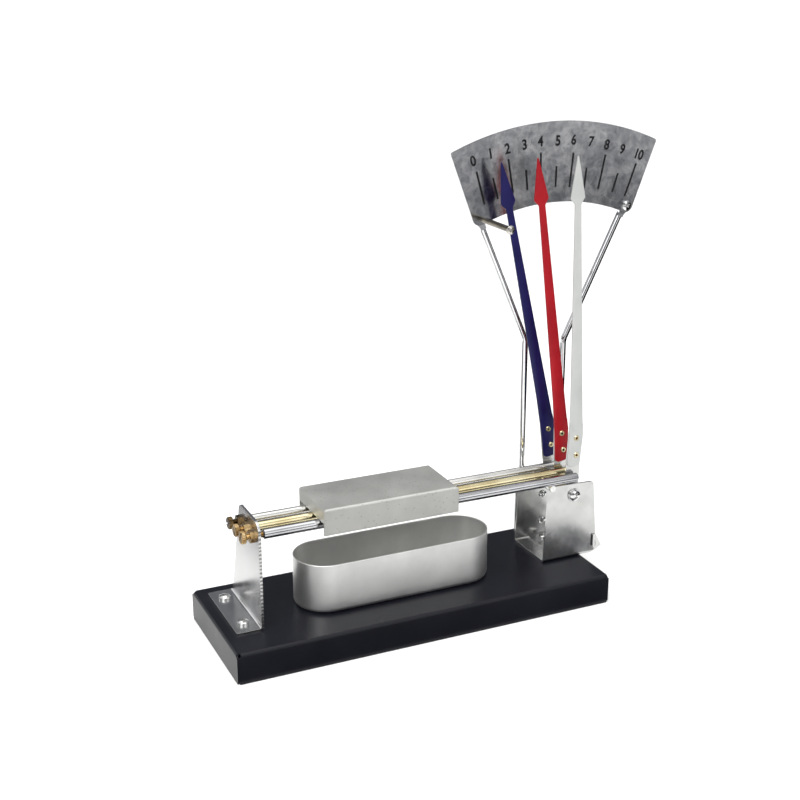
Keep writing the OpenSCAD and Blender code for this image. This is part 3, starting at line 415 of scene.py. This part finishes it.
# Fuel trough: oval pan pressed from 0.9 mm aluminium. Pressing leaves it dull, with faint upright marks.
# Its wall is smooth enough to mirror the black base softly near its foot.
pressed, tree, shader, place = new_finish("pressed_aluminium")
drawn = add(tree, "ShaderNodeMapping", {"Scale": (1, 1, 0.05)}, {"Vector": place})
lines = add(tree, "ShaderNodeTexNoise", {"Scale": grains(1.43), "Detail": 4}, {"Vector": drawn})
cloud = add(tree, "ShaderNodeTexNoise", {"Scale": grains(23.8), "Detail": 6}, {"Vector": place})
tone = add(tree, "ShaderNodeValToRGB", {"stops": ((0.3, "#dadad8"), (0.7, "#eeeeec"))}, {"Fac": cloud})
gloss = add(tree, "ShaderNodeMapRange", {"To Min": 0.36, "To Max": 0.48}, {"Value": cloud})
soft = add(tree, "ShaderNodeBevel", {"samples": 4, "Radius": 0.0003})
skin = add(tree, "ShaderNodeBump", {"Strength": 0.4, "Distance": 0.00006}, {"Height": lines, "Normal": soft})
wire(tree, shader, {"Metallic": 1.0}, {"Base Color": tone, "Roughness": gloss, "Normal": skin})
dress(pressed, "fuel_trough")

# Right bracket, pad plate, washers, clamp and carriers: zinc-plated sheet steel.
# The plate is a fairly clear mirror, with small stains where it was dipped.
plated, tree, shader, place = new_finish("zinc_plated_sheet")
stain = add(tree, "ShaderNodeTexNoise",
            {"Scale": grains(10.53), "Detail": 7, "Roughness": 0.62}, {"Vector": place})
fine = add(tree, "ShaderNodeTexNoise", {"Scale": grains(0.667), "Detail": 3}, {"Vector": place})
tone = add(tree, "ShaderNodeValToRGB", {"stops": (
    (0.3, "#b4b4b2"), (0.6, "#c8c8c7"), (0.8, "#d2d2d1"))}, {"Fac": stain})
gloss = add(tree, "ShaderNodeMapRange", {"To Min": 0.12, "To Max": 0.28}, {"Value": stain})
soft = add(tree, "ShaderNodeBevel", {"samples": 4, "Radius": 0.0003})
skin = add(tree, "ShaderNodeBump", {"Strength": 0.2, "Distance": 0.00003}, {"Height": fine, "Normal": soft})
wire(tree, shader, {"Metallic": 1.0}, {"Base Color": tone, "Roughness": gloss, "Normal": skin})
dress(plated, "right_bracket", "pad_plate", "pivot_washers", "support_clamp",
      "carrier_white", "carrier_red", "carrier_blue")

# Hubs and spacer tubes: turned brass on the pivot screw, cleaner than the handled screws.
# Turning leaves fine rings round them.
clean, tree, shader, place = new_finish("clean_turned_brass")
rings = add(tree, "ShaderNodeTexWave",
            {"bands_direction": "Y", "Scale": bands(0.393), "Distortion": 0.4}, {"Vector": place})
tint = add(tree, "ShaderNodeTexNoise", {"Scale": grains(6.67), "Detail": 4}, {"Vector": place})
tone = add(tree, "ShaderNodeValToRGB", {"stops": ((0.3, "#b59a5e"), (0.7, "#ccb47c"))}, {"Fac": tint})
gloss = add(tree, "ShaderNodeMapRange", {"To Min": 0.18, "To Max": 0.3}, {"Value": tint})
skin = add(tree, "ShaderNodeBump", {"Strength": 0.12, "Distance": 0.00002}, {"Height": rings.outputs["Fac"]})
wire(tree, shader, {"Metallic": 1.0}, {"Base Color": tone, "Roughness": gloss, "Normal": skin})
dress(clean, "hub_white", "hub_red", "hub_blue", "spacer_tubes")

# Pointers: crowned strips of 0.8 mm sheet steel, cut to an arrowhead and sprayed with gloss paint.
# The paint is smooth, with soft cloudy patches and fine orange peel.
for node, name, dark, pale, rough in (
        ("pointer_white", "white_gloss_paint", "#b0b2b0", "#bbbcba", (0.30, 0.40)),
        ("pointer_red", "red_gloss_paint", "#920a18", "#a60f1c", (0.26, 0.36)),
        ("pointer_blue", "blue_gloss_paint", "#100f42", "#191750", (0.26, 0.36))):
    paint, tree, shader, place = new_finish(name)
    cloud = add(tree, "ShaderNodeTexNoise", {"Scale": grains(18.2), "Detail": 5}, {"Vector": place})
    peel = add(tree, "ShaderNodeTexNoise", {"Scale": grains(0.91), "Detail": 2}, {"Vector": place})
    tone = add(tree, "ShaderNodeValToRGB", {"stops": ((0.3, dark), (0.7, pale))}, {"Fac": cloud})
    gloss = add(tree, "ShaderNodeMapRange", {"To Min": rough[0], "To Max": rough[1]}, {"Value": cloud})
    soft = add(tree, "ShaderNodeBevel", {"samples": 4, "Radius": 0.0003})
    skin = add(tree, "ShaderNodeBump",
               {"Strength": 0.2, "Distance": 0.00003}, {"Height": peel, "Normal": soft})
    wire(tree, shader, {"Specular IOR Level": 0.27}, {"Base Color": tone, "Roughness": gloss, "Normal": skin})
    dress(paint, node)

# Eyelets: thin pale brass tubes, rolled over at both ends to hold blade and carrier together.
# Rolling leaves the flanges bright and a little mottled, and the bores are painted dark as shade, from
# ambient occlusion.
rolled, tree, shader, place = new_finish("rolled_pale_brass")
tint = add(tree, "ShaderNodeTexNoise", {"Scale": grains(1.667), "Detail": 3}, {"Vector": place})
tone = add(tree, "ShaderNodeValToRGB", {"stops": ((0.3, "#b3a67c"), (0.7, "#dcd2ae"))}, {"Fac": tint})
# Bore: painted shade, dark where brass stands close by on most sides
close_by = 0.0016
bore = add(tree, "ShaderNodeAmbientOcclusion", {"samples": 6, "Distance": close_by})
unshaded = add(tree, "ShaderNodeMapRange", {"From Min": 0.45, "From Max": 0.75}, {"Value": bore.outputs["AO"]})
# Painted shade: the near-black colour goes into the bores where the ambient occlusion is low
bore_painted_shade = add(tree, "ShaderNodeMix", {"data_type": "RGBA", 6: linear("#1c170f")}, {0: unshaded, 7: tone})
gloss = add(tree, "ShaderNodeMapRange", {"To Min": 0.14, "To Max": 0.28}, {"Value": tint})
wire(tree, shader, {"Metallic": 1.0}, {"Base Color": bore_painted_shade.outputs[2], "Roughness": gloss})
dress(rolled, "eyelets_white", "eyelets_red", "eyelets_blue")

# Scale plate: galvanised sheet of 0.8 mm, cut to an arch. The zinc froze in soft grey flowers.
# It is a dim mirror, so the pointers show in it blurred.
zinc, tree, shader, place = new_finish("spangled_galvanised_sheet")
bend = add(tree, "ShaderNodeTexNoise",
           {"Scale": grains(8.33), "Detail": 5, "Roughness": 0.6}, {"Vector": place})
shift = add(tree, "ShaderNodeMix", {"data_type": "VECTOR", 0: 0.03}, {4: place, 5: bend.outputs["Color"]})
flower = add(tree, "ShaderNodeTexVoronoi", {"Scale": grains(9.09)}, {"Vector": shift.outputs[1]})
cloud = add(tree, "ShaderNodeTexNoise",
            {"Scale": grains(29.4), "Detail": 8, "Roughness": 0.65}, {"Vector": place})
patch = add(tree, "ShaderNodeMix", {"data_type": "FLOAT", 0: 0.35}, {2: cloud, 3: flower})
tone = add(tree, "ShaderNodeValToRGB", {"stops": (
    (0.28, "#7e8084"), (0.48, "#a2a3a6"), (0.68, "#cacacc"))}, {"Fac": patch})
gloss = add(tree, "ShaderNodeMapRange", {"To Min": 0.12, "To Max": 0.28}, {"Value": patch})
skin = add(tree, "ShaderNodeBump", {"Strength": 0.2, "Distance": 0.00004}, {"Height": cloud})
wire(tree, shader, {"Metallic": 1.0}, {"Base Color": tone, "Roughness": gloss, "Normal": skin})
dress(zinc, "scale_plate")

# Scale printing: eleven strokes and the plain figures 0 to 10, screen printed in black ink.
# The ink dries half matt. Its film is drawn 0.04 mm thick.
ink, tree, shader, place = new_finish("black_screen_ink")
grain = add(tree, "ShaderNodeTexNoise", {"Scale": grains(0.556), "Detail": 3}, {"Vector": place})
tone = add(tree, "ShaderNodeValToRGB", {"stops": ((0.3, "#0c0c0e"), (0.7, "#151518"))}, {"Fac": grain})
gloss = add(tree, "ShaderNodeMapRange", {"To Min": 0.45, "To Max": 0.6}, {"Value": grain})
wire(tree, shader, {"Specular IOR Level": 0.24}, {"Base Color": tone, "Roughness": gloss})

face_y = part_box("scale_plate")[0].y
film = 0.00004
stroke_wide = 0.00135
figure_tall = 0.0067
figure_narrow = 0.86
figure_bold = 0.03
first_turn = -15.5
turn_step = 3.4
mm = 0.001
# Lower and upper end of each stroke, and middle of each figure: mm from the base's middle and the bench
strokes = ((67.2, 252.4, 61.2, 273.2), (76.6, 255.1, 72.8, 268.4), (87.2, 258.1, 83.3, 279.4),
           (97.5, 259.2, 96.0, 271.8), (106.8, 260.4, 106.3, 282.0), (117.7, 259.6, 117.9, 272.8),
           (128.0, 258.9, 130.0, 280.5), (138.9, 257.5, 140.1, 270.4), (149.4, 256.1, 153.9, 277.8),
           (160.2, 253.4, 164.0, 265.3), (170.0, 250.0, 177.5, 270.6))
figures = ((58.7, 279.8), (70.7, 283.6), (82.4, 285.9), (94.4, 287.6), (105.7, 289.1), (118.3, 288.7),
           (129.9, 288.7), (142.9, 286.7), (154.6, 284.1), (166.5, 280.5), (179.8, 276.3))
printed = []
for count, (x0, z0, x1, z1) in enumerate(strokes):
    lean = math.atan2(x1 - x0, z1 - z0)
    long = math.hypot(x1 - x0, z1 - z0) * mm
    bpy.ops.object.select_all(action="DESELECT")
    middle = ((x0 + x1) / 2 * mm, face_y, (z0 + z1) / 2 * mm)
    bpy.ops.mesh.primitive_plane_add(size=1, location=middle, rotation=(math.radians(90), lean, 0))
    bpy.context.object.scale = (stroke_wide, long, 1)
    bpy.ops.object.transform_apply(location=True, rotation=True, scale=True)
    printed.append(bpy.context.object)
    bpy.ops.object.select_all(action="DESELECT")
    bpy.ops.object.text_add(location=(0, 0, 0))
    figure = bpy.context.object
    # The nine is this font's six turned round, because its own nine breaks when it is made bold
    figure.data.body = "6" if count == 9 else str(count)
    figure.data.align_x = "CENTER"
    figure.data.align_y = "CENTER"
    figure.data.size = 1.0
    figure.data.offset = figure_bold
    figure.data.space_character = 0.92
    bpy.ops.object.convert(target="MESH")
    corners = [point.co for point in figure.data.vertices]
    tall = max(c.y for c in corners) - min(c.y for c in corners)
    mid = [(max(c[i] for c in corners) + min(c[i] for c in corners)) / 2 for i in (0, 1)]
    bpy.ops.object.mode_set(mode="EDIT")
    bpy.ops.mesh.select_all(action="SELECT")
    bpy.ops.transform.translate(value=(-mid[0], -mid[1], 0))
    bpy.ops.object.mode_set(mode="OBJECT")
    size = figure_tall / tall
    figure.scale = (size * figure_narrow, size, size)
    upside = 180 if count == 9 else 0
    figure.rotation_euler = (math.radians(90), math.radians(first_turn + turn_step * count + upside), 0)
    figure.location = (figures[count][0] * mm, face_y, figures[count][1] * mm)
    bpy.ops.object.transform_apply(location=True, rotation=True, scale=True)
    printed.append(figure)
bpy.ops.object.select_all(action="DESELECT")
for piece in printed:
    piece.select_set(True)
bpy.context.view_layer.objects.active = printed[0]
bpy.ops.object.join()
printing = bpy.context.object
printing.name = "scale_printing"
bpy.ops.object.mode_set(mode="EDIT")
bpy.ops.mesh.select_all(action="SELECT")
bpy.ops.mesh.remove_doubles(threshold=0.000001)
bpy.ops.mesh.normals_make_consistent(inside=False)
bpy.ops.object.mode_set(mode="OBJECT")
thick = printing.modifiers.new("film", "SOLIDIFY")
thick.thickness = film * 2
thick.offset = 0
bpy.ops.object.modifier_apply(modifier=thick.name)
printing.data.materials.clear()
printing.data.materials.append(ink)
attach(printing, "frame")

# Support rods: 4 mm round bar, bent cold, flattened and drilled at the top, then chrome plated.
# The plate is almost a perfect mirror, so the rods show sharp streaks of the studio.
chrome, tree, shader, place = new_finish("chrome_plate")
ripple = add(tree, "ShaderNodeTexNoise", {"Scale": grains(4.17), "Detail": 3}, {"Vector": place})
tone = add(tree, "ShaderNodeValToRGB", {"stops": ((0.3, "#d4d5d6"), (0.7, "#e6e6e7"))}, {"Fac": ripple})
gloss = add(tree, "ShaderNodeMapRange", {"To Min": 0.03, "To Max": 0.08}, {"Value": ripple})
wire(tree, shader, {"Metallic": 1.0}, {"Base Color": tone, "Roughness": gloss})
dress(chrome, "support_rod_left", "support_rod_right")

# Stop pin: plain turned steel, darkened by oil, with a head that stayed bright.
# The pointers lean on its shank at their lowest.
oiled, tree, shader, place = new_finish("oil_darkened_steel")
stain = add(tree, "ShaderNodeTexNoise", {"Scale": grains(5.56), "Detail": 5}, {"Vector": place})
tone = add(tree, "ShaderNodeValToRGB", {"stops": ((0.3, "#5a554b"), (0.7, "#8a8375"))}, {"Fac": stain})
pin_head_t = 0.0012
head_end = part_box("stop_pin")[0].y + pin_head_t
along = add(tree, "ShaderNodeSeparateXYZ", links={0: place})
shank = add(tree, "ShaderNodeMath", {"operation": "GREATER_THAN", 1: head_end}, {0: along.outputs["Y"]})
coloured = add(tree, "ShaderNodeMix", {"data_type": "RGBA", 6: linear("#c9c6bf")}, {0: shank, 7: tone})
gloss = add(tree, "ShaderNodeMapRange", {"To Min": 0.16, "To Max": 0.3}, {"Value": stain})
wire(tree, shader, {"Metallic": 1.0}, {"Base Color": coloured.outputs[2], "Roughness": gloss})
dress(oiled, "stop_pin")
